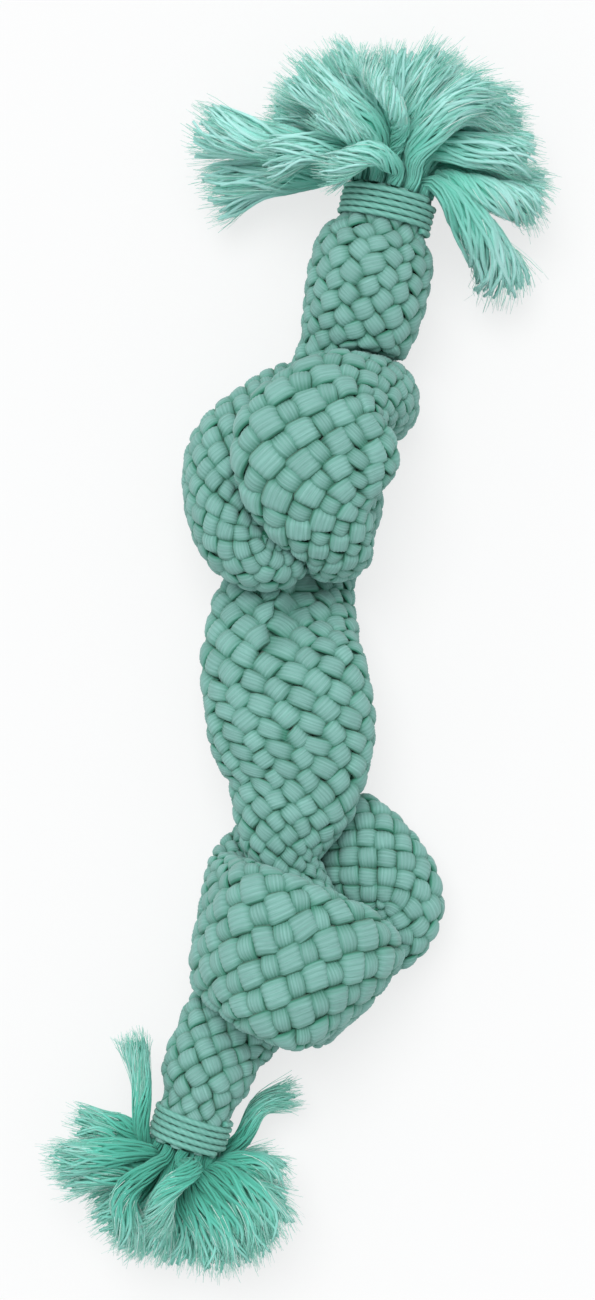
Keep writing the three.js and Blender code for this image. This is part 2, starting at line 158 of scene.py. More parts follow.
ropeRoute = [
    (25, 130, 0, 23.5, 23.5, 0, 0, -1),
    (22.6, 120.4, 0, 24, 24, 0, 0, -1),
    (21, 115, 0, 32.5, 32.5, 0, 0, -1),
    (19, 107, 0, 35, 34, 0, 0, -1),
    (16.8, 96, -0.5, 34, 31, 0, 0, -1),
    (13.5, 86, -2, 30, 23, 0, 0, -1),
    (8.5, 74.5, -3.5, 21, 13, 0, 0, -1),
    (5, 60, -4, 18, 10.5, 0, 0, -1),
    (4, 44, -5.5, 17.5, 9.5, 0, -0.1, -1),
    (6.5, 33, -7.5, 17, 8.5, 0.1, -0.5, -0.8),
    (10, 26.5, 3, 15.5, 8, 0.2, -1, 0),
    (8.5, 32, 13, 20, 9, 0, -0.5, 0.85),
    (4, 40, 18.5, 31, 11, 0, -0.1, 1),
    (2.6, 49.5, 20.5, 44, 12.5, 0, 0, 1),
    (4.5, 60, 20.5, 46, 12.5, 0.05, 0.1, 1),
    (9, 70, 17.5, 31, 11.5, 0.05, 0.45, 0.9),
    (17.5, 73, 10, 21, 11, 0.5, 0.5, 0.7),
    (24.5, 72, -1, 16.5, 11.5, 0.97, 0.15, 0),
    (22, 70, -13.5, 19.5, 10, 0.6, 0.1, -0.8),
    (10, 69.5, -19, 24.5, 9.5, 0, 0.1, -1),
    (-3.5, 68.5, -17, 27.5, 10, -0.3, 0.3, -0.9),
    (-14.5, 64.5, -10, 28.5, 12, -0.75, 0.5, -0.2),
    (-22, 55.5, -1.5, 28, 17.5, -0.95, 0.25, 0.15),
    (-23, 42, 2.5, 28, 19, -0.93, -0.3, 0.15),
    (-17.5, 30.5, 4.5, 21, 18, -0.6, -0.78, 0.15),
    (-7.5, 27, 5.5, 17, 16.5, -0.05, -0.97, 0.2),
    (1, 33, 6.5, 17, 10.5, 0, -0.6, 0.8),
    (9.5, 39.5, 7.5, 17, 7.5, 0.2, -0.1, 0.97),
    (15.5, 43, -1.5, 17.5, 8, 0.97, -0.1, 0.2),
    (12, 38, -17, 20.5, 9, 0.3, -0.2, -0.9),
    (2, 27.5, -19, 28, 10, 0, -0.1, -0.98),
    (-4, 14, -12, 38, 14.5, 0, 0.1, -0.98),
    (-6, 0.5, -3.5, 46, 23, 0.1, 0, -1),
    (-4, -13, 0, 48, 25, 0.1, 0, -1),
    (-2.5, -25.5, 0, 46.5, 24.5, 0, 0, -1),
    (-2.2, -37, 0, 38.5, 20.5, 0, 0, -1),
    (-4.5, -47.5, 0, 26.5, 15, 0, 0, -1),
    (-5.5, -57, 0.5, 17.5, 11, 0, 0, -1),
    (-1.5, -68, 0.5, 17, 9.5, 0, 0, -1),
    (4.5, -77.5, 0, 18, 8.5, 0, 0, -1),
    (12.5, -83, -3, 18, 8.5, 0, 0, -1),
    (22.5, -81, -7.5, 19, 8.5, 0, 0, -1),
    (27.5, -71, -8.5, 25, 9, 0, 0, -1),
    (18, -58.5, -9.5, 29, 10.5, 0, 0, -1),
    (7.5, -51.5, -16, 29, 9.5, 0, 0, -1),
    (-7, -58.5, -19.5, 28, 9.5, -0.2, 0, -1),
    (-19.5, -71, -10.5, 35, 10, -0.85, 0.2, -0.5),
    (-21.5, -76.5, 1, 42, 10, -0.95, 0.3, 0.05),
    (-15, -80, 13.5, 45, 11, -0.45, -0.1, 0.9),
    (-3.5, -85, 17.5, 46, 11.5, 0, 0, 1),
    (8, -89.5, 14.5, 44.5, 11, 0.4, -0.25, 0.85),
    (12.8, -93.7, 1.5, 38.5, 9.5, 0.62, -0.78, 0),
    (4.5, -96.5, -12.5, 29, 9.5, 0.2, -0.3, -0.9),
    (-10, -97.5, -14.5, 25.5, 10.5, 0, 0, -1),
    (-19.5, -104, -8.5, 25.5, 15.5, 0, 0, -1),
    (-25.5, -114, -2, 26.5, 23, 0, 0, -1),
    (-27.6, -120.4, 0, 25, 24, 0, 0, -1),
    (-29.4, -126.5, 0, 19, 19, 0, 0, -1),
    (-33, -138, 0, 19, 19, 0, 0, -1),
]

rope = {
    "offset": (0.577, 1.391, 22.4),  # from the route's own zero to the frame
    "ringSpacing": 2.6,
    "ringPoints": 36,
    "refine": (3, 4),  # times as many rings and points in the finished skin
    "measuringSteps": 4000,  # along the route
    "sectionSteps": 288,  # round a section, to space its points evenly
    "squareness": 0.4,  # how far a flat section goes from an oval towards a rectangle
    "startWidth": 0.95,  # pressed bands start slim and swell until they meet
    "startThickness": 0.9,
    "pressed": (12.0, 20.0),  # thickness at which a band counts as pressed, and as free
    "cutRows": (0.0, 5.6, 31.4, 36.6, 54.2, 58.0),  # neck, upper knot, middle, lower knot, neck
    # row and value: how far the braid twists round the rope, mm to a mm; the fuller family of strands,
    # 1 right-hand and -1 left-hand; and the mm of rope in which a strand passes one over and one under
    "shear": [(9, 0), (11, -0.24), (14.5, -0.24), (17, 0), (29, 0), (32, -0.22), (35, -0.22), (38, 0),
              (46, 0), (48, 0.45), (51, 0.45), (53, 0)],
    "plump": [(9, 0), (11, 1), (15, 1), (17, 0), (46, 0), (48, -1), (51, -1), (53, 0)],
    "lay": [(6, 5.9), (10, 6.8), (16, 6.8), (20, 6.4), (30, 6.2), (36, 6.1), (42, 6.4), (52, 6.5),
            (55, 6.2)],
}


def unit(vectors):
    return vectors / np.maximum(np.linalg.norm(vectors, axis=-1, keepdims=True), 1e-9)


def smoothStep(values, low, high):
    t = np.clip((values - low) / (high - low), 0.0, 1.0)
    return t * t * (3 - 2 * t)


def walkedAlong(paths):
    # length from the start of each path to each of its points
    return np.cumsum(np.linalg.norm(np.diff(paths, axis=1, prepend=paths[:, :1]), axis=-1), axis=1)


def cubic(start, end, startSlope, endSlope, t):
    return (start + startSlope * t + (3 * (end - start) - 2 * startSlope - endSlope) * t ** 2
            + (2 * (start - end) + startSlope + endSlope) * t ** 3)


def throughRows(rows, at, evenSpeed=False):
    # a cubic through every row, read at row numbers with fractions: the slope at a row comes from its two
    # neighbours, weighed by the square roots of their distances where evenSpeed is set
    rows = np.asarray(rows, float)
    padded = np.concatenate([2 * rows[:1] - rows[1:2], rows, 2 * rows[-1:] - rows[-2:-1]])
    first = np.clip(np.floor(at).astype(int), 0, len(rows) - 2)
    t = np.asarray(at - first, float).reshape((-1,) + (1,) * (rows.ndim - 1))
    p0, p1, p2, p3 = (padded[first + k] for k in range(4))
    if evenSpeed:
        d0, d1, d2 = (np.sqrt(np.linalg.norm(b - a, axis=-1, keepdims=True))
                      for a, b in ((p0, p1), (p1, p2), (p2, p3)))
        m1 = ((p1 - p0) / d0 - (p2 - p0) / (d0 + d1) + (p2 - p1) / d1) * d1
        m2 = ((p2 - p1) / d1 - (p3 - p1) / (d1 + d2) + (p3 - p2) / d2) * d1
    else:
        m1, m2 = (p2 - p0) / 2, (p3 - p1) / 2
    return cubic(p1, p2, m1, m2, t)


def ropeRings():
    # rounded flat sections set square to the route at even distances, with evenly spaced points
    rows = np.array(ropeRoute, float)
    fineRows = np.linspace(0, len(rows) - 1, rope["measuringSteps"])
    fineCentre = throughRows(rows[:, :3], fineRows, evenSpeed=True)
    finePlace = walkedAlong(fineCentre[None])[0]
    ringCount = int(round(finePlace[-1] / rope["ringSpacing"])) + 1
    place = np.linspace(0, finePlace[-1], ringCount)
    at = np.interp(place, finePlace, fineRows)
    centre = throughRows(rows[:, :3], at, evenSpeed=True) + np.array(rope["offset"])
    axis = unit(np.gradient(centre, axis=0))
    face = throughRows(rows[:, 5:8], at)
    face = unit(face - (face * axis).sum(1, keepdims=True) * axis)
    edge = np.cross(axis, face)
    size = throughRows(rows[:, 3:5], at)
    free = smoothStep(size[:, 1], *rope["pressed"])
    width = size[:, 0] * (rope["startWidth"] + (1 - rope["startWidth"]) * free)
    thickness = size[:, 1] * (rope["startThickness"] + (1 - rope["startThickness"]) * free)
    power = (2 / (2 + rope["squareness"] * (1 - thickness / width)))[:, None]

    def section(angle):
        c, s = np.cos(angle), np.sin(angle)
        return (np.sign(c) * np.abs(c) ** power * thickness[:, None] / 2,
                np.sign(s) * np.abs(s) ** power * width[:, None] / 2)

    dense = np.linspace(0, 2 * np.pi, rope["sectionSteps"] + 1)[None]
    steps = [np.diff(values, prepend=values[:, :1]) for values in section(dense)]
    walked = np.cumsum(np.hypot(*steps), axis=1)
    shares = np.arange(rope["ringPoints"]) / rope["ringPoints"]
    spread = np.stack([np.interp(shares * walked[r, -1], walked[r], dense[0]) for r in range(ringCount)])
    across, along = section(spread)
    grid = centre[:, None] + across[..., None] * face[:, None] + along[..., None] * edge[:, None]
    grid[..., 2] = np.maximum(grid[..., 2], 0.0)
    return grid, place, walked[:, -1], free, lambda row: np.interp(row, fineRows, finePlace)


def gridNormals(grid):
    # square to the two directions of the grid, pointing out of the rope
    along = np.gradient(grid, axis=0)
    around = np.roll(grid, -1, axis=1) - np.roll(grid, 1, axis=1)
    return unit(np.cross(around, along))


# Drawing the knots tight: pressed bands swell like soft tubes until they meet each other

tightening = {
    "rounds": 60,
    "pressure": 0.3,  # outward step of the skin in a round, mm
    "memory": 0.07,  # how strongly the skin goes back to its first shape in a round
    "stretch": 1.15,  # how far a ring may stretch round the rope
    "clearance": 0.3,  # left between bands that meet
    "apart": 30.0,  # bands count as different when this far apart along the rope
    "near": 9.0,  # points of two bands further from each other than this don't push
    "firmness": 0.35,  # share of an overlap that is taken away in a round
    "longestPush": 3.0,
    "longestStep": 1.5,
    "shrinkage": 0.4,  # how far a ring may shrink
    "lengthRange": (0.7, 1.25),  # how far the rope may shrink and stretch along its length
    "searchEvery": 4,  # rounds
    "searchBlock": 1024,  # points compared with all others at a time
    "softness": 0.1,  # how strongly the skin is evened out in a round
}


def facingPoints(points, place):
    # for every point the nearest one on another band of the rope, by comparing all distances
    squares = (points ** 2).sum(1)
    partner = np.empty(len(points), int)
    distance = np.empty(len(points))
    for first in range(0, len(points), tightening["searchBlock"]):
        part = slice(first, first + tightening["searchBlock"])
        apart = squares[part, None] + squares[None] - 2 * points[part] @ points.T
        apart[np.abs(place[part, None] - place[None]) < tightening["apart"]] = np.inf
        partner[part] = apart.argmin(1)
        distance[part] = np.sqrt(np.maximum(apart[np.arange(len(apart)), partner[part]], 0))
    return partner, distance


def keepInRange(first, second, shortest, longest):
    # the move of each edge's first end, and against it of its second, that brings its length into range
    step = second - first
    length = np.maximum(np.linalg.norm(step, axis=-1, keepdims=True), 1e-6)
    wanted = np.clip(length, shortest, longest)
    return step * (0.5 * (length - wanted) / length)


def drawTight(grid, place, girth, free):
    # each round swells the pressed bands, pushes apart those that overlap and keeps edges in range
    ringCount, sideCount = grid.shape[:2]
    home = grid.copy()
    restAlong = np.linalg.norm(np.diff(grid, axis=0), axis=-1, keepdims=True)
    restAround = (girth / sideCount)[:, None, None]
    pointPlace = np.repeat(place, sideCount).astype(np.float32)
    swell = (1 - free)[:, None, None]
    widest, narrowest = tightening["stretch"] * restAround, tightening["shrinkage"] * restAround
    shortest, longest = (share * restAlong for share in tightening["lengthRange"])
    for turn in range(tightening["rounds"]):
        normals = gridNormals(grid)
        grid = grid + swell * (normals * tightening["pressure"] + tightening["memory"] * (home - grid))
        flat = grid.reshape(-1, 3)
        if turn % tightening["searchEvery"] == 0:
            partner, distance = facingPoints(flat.astype(np.float32), pointPlace)
            near = distance < tightening["near"]
        other = normals.reshape(-1, 3)[partner]
        gap = ((flat - flat[partner]) * other).sum(1)
        short = np.where(near & (gap < tightening["clearance"]), tightening["clearance"] - gap, 0.0)
        push = other * np.minimum(short, tightening["longestPush"])[:, None] * tightening["firmness"]
        shift = push.copy()
        np.add.at(shift, partner, -push)
        shift = np.clip(shift, -tightening["longestStep"], tightening["longestStep"])
        grid = grid + shift.reshape(grid.shape)
        for parity in (0, 1):
            first = np.arange(parity, sideCount, 2)
            second = (first + 1) % sideCount
            move = keepInRange(grid[:, first], grid[:, second], narrowest, widest)
            grid[:, first] += move
            grid[:, second] -= move
            lower = slice(parity, ringCount - 1, 2)
            upper = slice(parity + 1, ringCount, 2)
            move = keepInRange(grid[lower], grid[upper], shortest[lower], longest[lower])
            grid[lower] += move
            grid[upper] -= move
        rounder = (np.roll(grid, 1, axis=1) + np.roll(grid, -1, axis=1)) / 2 - grid
        grid = grid + swell * tightening["softness"] * rounder
        grid[1:-1] += swell[1:-1] * tightening["softness"] * ((grid[2:] + grid[:-2]) / 2 - grid[1:-1])
        grid[..., 2] = np.maximum(grid[..., 2], 0.0)
    return grid


def refineGrid(grid, alongFactor, aroundFactor):
    # more points on the same smooth skin: a cubic along the rope, then a closed cubic round it
    rings = throughRows(grid, np.linspace(0, len(grid) - 1, (len(grid) - 1) * alongFactor + 1))
    sideCount = grid.shape[1]
    at = np.arange(sideCount * aroundFactor) / aroundFactor
    first = np.floor(at).astype(int)
    t = (at - first)[None, :, None]
    p0, p1, p2, p3 = (rings[:, (first + k) % sideCount] for k in (-1, 0, 1, 2))
    return cubic(p1, p2, (p2 - p0) / 2, (p3 - p1) / 2, t)


# The fold on top of the middle stretch: its left side laps over its right side below the upper knot

fold = {
    "from": (-1.5, 20.0),  # ends of the fold's line
    "to": (-17.0, -10.0),
    "fade": (0.1, 1.0),  # shares of the line between which it gets shallow
    "depth": 7.0,
    "hollow": 9.5,  # widths of the hollow, the raised lip and the slope between them
    "lip": 7.0,
    "edge": 7.0,
    "lipRise": 0.25,  # as a share of the depth
    "rows": (29.5, 34.5),  # rows of the route that it lies between
    "blur": (4.0, 8.0),  # mm of rope in which it comes and goes
    "facing": (0.1, 0.5),  # how far up the skin has to look, as the height of its normal
}


def foldMiddle(points, places, rowsToPlaces):
    # a hollow on the right of the fold's line that fades along it, with a low raised lip on its left
    offset = np.array(rope["offset"][:2])
    start, end = np.array(fold["from"]) + offset, np.array(fold["to"]) + offset
    run = (end - start) / np.linalg.norm(end - start)
    flat = points[..., :2] - start
    share = flat @ run / np.linalg.norm(end - start)
    right = flat @ np.array((-run[1], run[0]))
    depth = fold["depth"] * (1 - smoothStep(share, *fold["fade"]))
    side = smoothStep(right, -fold["edge"] / 2, fold["edge"] / 2)
    hollow = side * np.exp(-(np.maximum(right, 0) / fold["hollow"]) ** 2)
    lip = (1 - side) * fold["lipRise"] * np.exp(-(np.minimum(right, 0) / fold["lip"]) ** 2)
    first, last = (rowsToPlaces(row) for row in fold["rows"])
    coming, going = fold["blur"]
    here = smoothStep(places, first, first + coming) * (1 - smoothStep(places, last, last + going))
    top = smoothStep(gridNormals(points)[..., 2], *fold["facing"])
    points = points.copy()
    points[..., 2] -= here[:, None] * top * depth * (hollow - lip)
    return points


def makeSkin():
    grid, place, girth, free, rowsToPlaces = ropeRings()
    print("rope route:", round(place[-1]), "mm long,", len(place), "rings")
    grid = drawTight(grid, place, girth, free)
    fine = refineGrid(grid, *rope["refine"])
    places = np.linspace(0, place[-1], len(fine))
    fine = foldMiddle(fine, places, rowsToPlaces)
    skin = {
        "points": fine,
        "normals": gridNormals(fine),
        "places": places,
        "centres": fine.mean(1),
        "cuts": rowsToPlaces(rope["cutRows"]),
    }
    spacing = places[1]

    def alongRope(table):
        return np.interp(places, rowsToPlaces([row for row, _ in table]), [value for _, value in table])

    # mm of skin to a mm of route, and to a radian round the rope
    skin["alongScale"] = np.linalg.norm(np.gradient(fine, axis=0), axis=-1) / spacing
    around = np.roll(fine, -1, axis=1) - np.roll(fine, 1, axis=1)
    skin["aroundScale"] = np.linalg.norm(around, axis=-1) / 2 * fine.shape[1] / (2 * np.pi)
    skin["twistRate"] = alongRope(rope["shear"]) / skin["aroundScale"].mean(1)
    skin["twist"] = np.cumsum(skin["twistRate"]) * spacing
    # passes over and under to a mm of route, and passes so far
    skin["layRate"] = 1 / alongRope(rope["lay"])
    skin["lay"] = np.cumsum(skin["layRate"]) * spacing
    skin["plump"] = alongRope(rope["plump"])
    return skin


def readSkin(key, place, angle):
    # value of the skin at a distance along the rope and an angle round it, mixed from the four nearest
    values = skin[key]
    rings, sides = values.shape[:2]
    row = np.clip(place / skin["places"][1], 0, rings - 1.001)
    side = np.mod(angle / (2 * np.pi), 1.0) * sides
    r, s = np.floor(row).astype(int), np.floor(side).astype(int) % sides
    u, v = row - np.floor(row), side - np.floor(side)
    if values.ndim == 3:
        u, v = u[..., None], v[..., None]
    t = (s + 1) % sides
    return ((1 - u) * ((1 - v) * values[r, s] + v * values[r, t])
            + u * ((1 - v) * values[r + 1, s] + v * values[r + 1, t]))


skin = makeSkin()
print("knots drawn tight")


# Meshes

strandMapLength = 10.0  # mm along a strand to one unit of its map


def tubesToObject(name, rings, alongMm, attributes, material):
    # closed tubes from rings of points (tube, ring, side): quads between rings, strips of quads as caps
    tubes, ringCount, sides = rings.shape[:3]
    tube = np.arange(tubes)[:, None, None] * ringCount * sides
    ring = np.arange(ringCount - 1)[None, :, None] * sides
    side = np.arange(sides)[None, None]
    turn = (side + 1) % sides
    quads = np.stack([tube + ring + side, tube + ring + turn,
                      tube + ring + sides + turn, tube + ring + sides + side], axis=-1).reshape(-1, 4)
    strip = np.arange(sides // 2 - 1)
    cap = np.stack([strip, strip + 1, sides - 2 - strip, sides - 1 - strip], axis=-1)[None]
    caps = np.concatenate([(tube + cap)[..., ::-1].reshape(-1, 4),
                           (tube + (ringCount - 1) * sides + cap).reshape(-1, 4)])
    faces = np.concatenate([quads, caps])
    mesh = bpy.data.meshes.new(name)
    mesh.from_pydata((rings.reshape(-1, 3) * metre).tolist(), [], faces.tolist())
    # the caps stay flat, so that no line shows where the rope is cut
    mesh.polygons.foreach_set("use_smooth", np.arange(len(faces)) < len(quads))
    across = np.broadcast_to(np.arange(sides) / sides, rings.shape[:3])
    along = np.broadcast_to(alongMm[..., None] / strandMapLength, rings.shape[:3])
    pair = np.stack([across, along], axis=-1).reshape(-1, 2)
    layer = mesh.uv_layers.new(name="strandMap")
    layer.uv.foreach_set("vector", pair[faces.ravel()].astype(np.float32).ravel())
    for key, values in attributes.items():
        slot = mesh.attributes.new(key, "FLOAT", "POINT")
        spread = np.broadcast_to(values, rings.shape[:3])
        slot.data.foreach_set("value", spread.astype(np.float32).ravel())
    mesh.materials.append(material)
    mesh.update()
    thing = bpy.data.objects.new(name, mesh)
    scene.collection.objects.link(thing)
    return thing


# Cotton: a lift attribute picks each colour from a ramp, painted shade from pale on top to deep green in
# the crevices, with fine yarn lines along each strand

# for strands, core, yarn and tufts, deep is the colour of painted shade and light that of the pale tops;
# fibres take them at random
cotton = {
    "strand": {"deep": "#0C6F50", "middle": "#4B927C", "light": "#87B9B1", "lines": 34.0, "bump": 0.7},
    "core": {"deep": "#1C6B56", "middle": "#30866E", "light": "#459C85", "lines": 20.0, "bump": 0.4},
    "yarn": {"deep": "#2C7C66", "middle": "#68B0A0", "light": "#86C4B7", "lines": 26.0, "bump": 0.5},
    "tuft": {"deep": "#1C8468", "middle": "#68D0BA", "light": "#B8F0E9", "lines": 14.0, "bump": 0.5},
    "fibre": {"deep": "#86D8C4", "middle": "#B4EBE0", "light": "#E8FAF6", "lines": 8.0, "bump": 0.1},
}

cottonSurface = {
    "stops": (0.05, 0.55, 0.95),  # lift of the deep, middle and light colours; on all but the fibres this is painted shade
    "lines": {"Scale": 1.0, "Detail": 3.0},
    "linesAlong": 1.6,  # noise cells along a strand to a unit of its map
    "strandShift": 17.0,  # noise cells between strands of different tone
    "lineTone": {"From Min": 0.3, "From Max": 0.7, "To Min": 0.86, "To Max": 1.1},
    "strandTone": {"To Min": 0.94, "To Max": 1.06},
    "bumpHeight": 0.0004,  # m
    "cloth": {"Roughness": 0.7, "Specular IOR Level": 0.25, "Sheen Weight": 0.15, "Sheen Roughness": 0.5},
}


def cottonMaterial(name):
    look, surface = cotton[name], cottonSurface
    material, tree = newMaterial(name + "Cotton")
    # the lift attribute carries painted shade and light, which the ramp below turns into colour
    lift = addNode(tree, "Attribute")
    lift.attribute_name = "lift"
    tone = addNode(tree, "Attribute")
    tone.attribute_name = "tone"
    strandMap = addNode(tree, "UVMap")
    strandMap.uv_map = "strandMap"
    scale, shift = (look["lines"], surface["linesAlong"], 1.0), (surface["strandShift"],) * 3
    stretch = addNode(tree, "Mapping", {"Scale": scale}, {0: (strandMap, 0)})
    shiftBy = addNode(tree, "CombineXYZ", None, {2: (tone, "Fac")})
    apart = addNode(tree, "VectorMath", {1: shift}, {0: (shiftBy, 0), 2: (stretch, 0)}, "MULTIPLY_ADD")
    lines = addNode(tree, "TexNoise", surface["lines"], {"Vector": (apart, 0)})

    ramp = addNode(tree, "ValToRGB", None, {0: (lift, "Fac")})
    stops = ramp.color_ramp.elements
    stops.new(0.5)
    for stop, position, colour in zip(stops, surface["stops"], ("deep", "middle", "light")):
        stop.position = position
        stop.color = linearColour(look[colour])
    lineTone = addNode(tree, "MapRange", surface["lineTone"], {"Value": (lines, "Fac")})
    strandTone = addNode(tree, "MapRange", surface["strandTone"], {"Value": (tone, "Fac")})
    strength = addNode(tree, "Math", None, {0: (lineTone, 0), 1: (strandTone, 0)}, "MULTIPLY")
    shade = addNode(tree, "VectorMath", None, {0: (ramp, 0), "Scale": (strength, 0)}, "SCALE")

    bump = addNode(tree, "Bump", {"Strength": look["bump"], "Distance": surface["bumpHeight"]},
                   {"Height": (lines, "Fac")})
    sources = {"Base Color": (shade, 0), "Normal": (bump, 0)}
    cloth = addNode(tree, "BsdfPrincipled", surface["cloth"], sources)
    addNode(tree, "OutputMaterial", None, {0: (cloth, 0)})
    return material


looks = {name: cottonMaterial(name) for name in cotton}


# The braid: two families of strands wind round the rope against each other, over one and under the next

braid = {
    "strands": 10,  # in each family
    "pieces": 2,  # meshes that a family is shared out to
    "step": 0.58,  # mm of rope between sections
    "overlap": 2,  # sections that run on past a cut, tucked under the next stretch
    "tuck": 0.07,  # mm to a mm
    "lengthening": 1.9,  # length of strand in a length of rope, for the yarn lines
    "fill": 1.09,  # strand width as a share of the room it has
    "halfThickness": 0.24,  # as a share of that room
    "wave": 1.0,  # rise and fall as a share of half the thickness
    "plateau": 1.8,  # how flat the tops of the floats are
    "pinch": 0.88,  # width left where a strand dives under
    "longFloats": 0.4,  # how much longer the fuller family stays on top
    "fuller": {"height": 0.12, "width": 0.03, "loss": 0.12},  # shares it gains, and width the other loses
    "halfRange": (0.5, 1.6),  # mm, least and greatest half thickness
    "yarns": 6,
    "yarnRidge": 0.06,
    "arch": (2.6, 0.45),  # powers that make a strand's top flat and its sides steep
    "underside": ((-0.6, -0.6), (0.0, -0.7), (0.6, -0.6)),  # points across and down
    "unevenness": {"every": 5.0, "width": 0.06, "height": 0.07, "aside": 0.05,  # mm, and shares
                   "heights": (-2.0, 1.0)},
    "floorGap": 0.05,  # mm
    "edgeLift": 0.3,  # painted shade: paleness left at a strand's edges, darker than its top
    "liftPower": 0.8,
    "diveShade": 0.2,  # painted shade: how much darker a strand is halfway down, where it dives under
    "lineShade": 0.1,  # painted shade: how much darker the lines between yarns are
    "seeds": {"tracks": 7, "tones": 3},
}


def strandProfile():
    # a flat-topped arch with a ridge for each yarn, over three points of a shallow underside
    x = np.linspace(1, -1, 2 * braid["yarns"] + 1)
    flat, steep = braid["arch"]
    arch = (1 - np.abs(x) ** flat) ** steep
    ridge = np.where(np.arange(len(x)) % 2, 1.0, -1.0) * arch
    z = arch + braid["yarnRidge"] * ridge
    shade = braid["lineShade"] * np.minimum(ridge, 0)
    underX, underZ = zip(*braid["underside"])
    return np.append(x, underX), np.append(z, underZ), np.append(shade, np.zeros(len(underX)))


def strandTracks(hand, number, place):
    # smooth random tracks along each strand, the same in every stretch: width, height and step aside
    every = braid["unevenness"]["every"]
    size = (3, braid["strands"], int(skin["places"][-1] / every) + 3)
    knots = np.random.default_rng(braid["seeds"]["tracks"] + hand).normal(0, 1, size)
    low = np.floor(place / every).astype(int)
    mix = smoothStep(place / every - low, 0.0, 1.0)
    return (1 - mix) * knots[:, number, low] + mix * knots[:, number, low + 1]


def braidFamily(name, hand, start, end, piece):
    # angle round the rope grows evenly with the distance along it, to the left or to the right by hand,
    # on top of the rope's own twist; the depth under the skin follows a flattened cosine, opposite in the
    # two families; each section of a strand steps sideways along the skin, square to the strand
    count = braid["strands"]
    number = np.arange(piece, count, braid["pieces"])[:, None]
    steps = int(round((end - start) / braid["step"]))
    before = braid["overlap"] if start > 1 else 0
    after = braid["overlap"] if end < skin["places"][-1] - 1 else 0
    place = (start + (end - start) / steps * np.arange(-before, steps + after + 1))[None]
    tuck = braid["tuck"] * np.maximum(np.maximum(start - place, place - end), 0)[..., None]

    def alongRope(key):
        return np.interp(place, skin["places"], skin[key])

    phase = 2 * np.pi / count * alongRope("lay")
    rate = hand * 2 * np.pi / count * alongRope("layRate") + alongRope("twistRate")
    favour = hand * alongRope("plump")
    angle = 2 * np.pi * number / count + hand * phase + alongRope("twist")
    uneven, fuller = braid["unevenness"], braid["fuller"]
    wide, high, aside = strandTracks(hand, number, place)
    angle = angle + 2 * np.pi / count * uneven["aside"] * aside
    over = hand * np.cos(count * phase) + braid["longFloats"] * favour
    over = np.clip(np.tanh(braid["plateau"] * over) / np.tanh(braid["plateau"]), -1, 1)
    over, ringPlace = np.broadcast_to(over, angle.shape), np.broadcast_to(place, angle.shape)

    # room for a strand is its share of the girth, less where it runs at a slant
    aroundScale = readSkin("aroundScale", ringPlace, angle)
    alongScale = readSkin("alongScale", ringPlace, angle)
    slant = np.hypot(aroundScale * rate, alongScale)
    room = aroundScale * 2 * np.pi / count * alongScale / slant
    half = np.clip(braid["halfThickness"] * room * (1 + fuller["height"] * favour), *braid["halfRange"])
    half = half * (1 + uneven["height"] * np.clip(high, *uneven["heights"]))
    halfWidth = room * braid["fill"] / 2 * (braid["pinch"] + (1 - braid["pinch"]) * (over + 1) / 2)
    halfWidth = halfWidth * (1 + np.where(favour > 0, fuller["width"], fuller["loss"]) * favour)
    halfWidth = halfWidth * (1 + uneven["width"] * wide)

    x, z, shade = strandProfile()
    stepPlace = aroundScale * rate / slant / alongScale * halfWidth
    stepAngle = -alongScale / slant / aroundScale * halfWidth
    pointPlace = ringPlace[..., None] + stepPlace[..., None] * x
    pointAngle = angle[..., None] + stepAngle[..., None] * x
    point = readSkin("points", pointPlace, pointAngle)
    normal = unit(readSkin("normals", pointPlace, pointAngle))
    height = half[..., None] * (braid["wave"] * (over[..., None] - 1) - 1 + z) - tuck
    rings = point + normal * height[..., None]
    rings[..., 2] = np.maximum(rings[..., 2], braid["floorGap"])
    # painted shade and light: pale on each strand's top, darker at its edges, where it dives under, and
    # along the lines between yarns
    edge, dive = braid["edgeLift"], braid["diveShade"]
    lift = edge + (1 - edge) * np.clip(z, 0, 1) ** braid["liftPower"]
    lift = lift * (1 - dive + dive * over[..., None])
    tone = np.random.default_rng(braid["seeds"]["tones"] + hand).random(count)[number][..., None]
    attributes = {"lift": lift + shade, "tone": tone}
    return tubesToObject(name, rings, ringPlace * braid["lengthening"], attributes, looks["strand"])


# The core: a bundle of cords inside the braid, as a lobed bar that shrinks the skin towards its middle

core = {
    "share": 0.42,  # of the skin's size
    "lobes": 6,
    "lobeDepth": 0.1,
    "layLength": 60.0,  # mm in which the cords wind round each other once
    "sides": 36,
    "spacing": 2.5,
    # painted shade: lift on the crests of the cords, falling to none in the grooves between them
    "lift": 0.25,
}


def coreBar(name, start, end):
    samples = int(round((end - start) / core["spacing"])) + 1
    place = np.linspace(start, end, samples)[:, None]
    angle = -2 * np.pi * np.arange(core["sides"])[None] / core["sides"]
    place, angle = np.broadcast_arrays(place, angle)
    point = readSkin("points", place, angle)
    middle = np.stack([np.interp(place[:, 0], skin["places"], skin["centres"][:, k])
                       for k in range(3)], axis=-1)
    lobe = np.cos(core["lobes"] * (angle + 2 * np.pi * place / core["layLength"]))
    share = core["share"] * (1 - core["lobeDepth"] + core["lobeDepth"] * lobe)
    rings = (middle[:, None] + (point - middle[:, None]) * share[..., None])[None]
    # painted shade: pale on the cords' crests, deep green in the grooves between them
    lift = (core["lift"] + core["lift"] * lobe)[None]
    return tubesToObject(name, rings, place[:, 0][None], {"lift": lift, "tone": 0.5}, looks["core"])


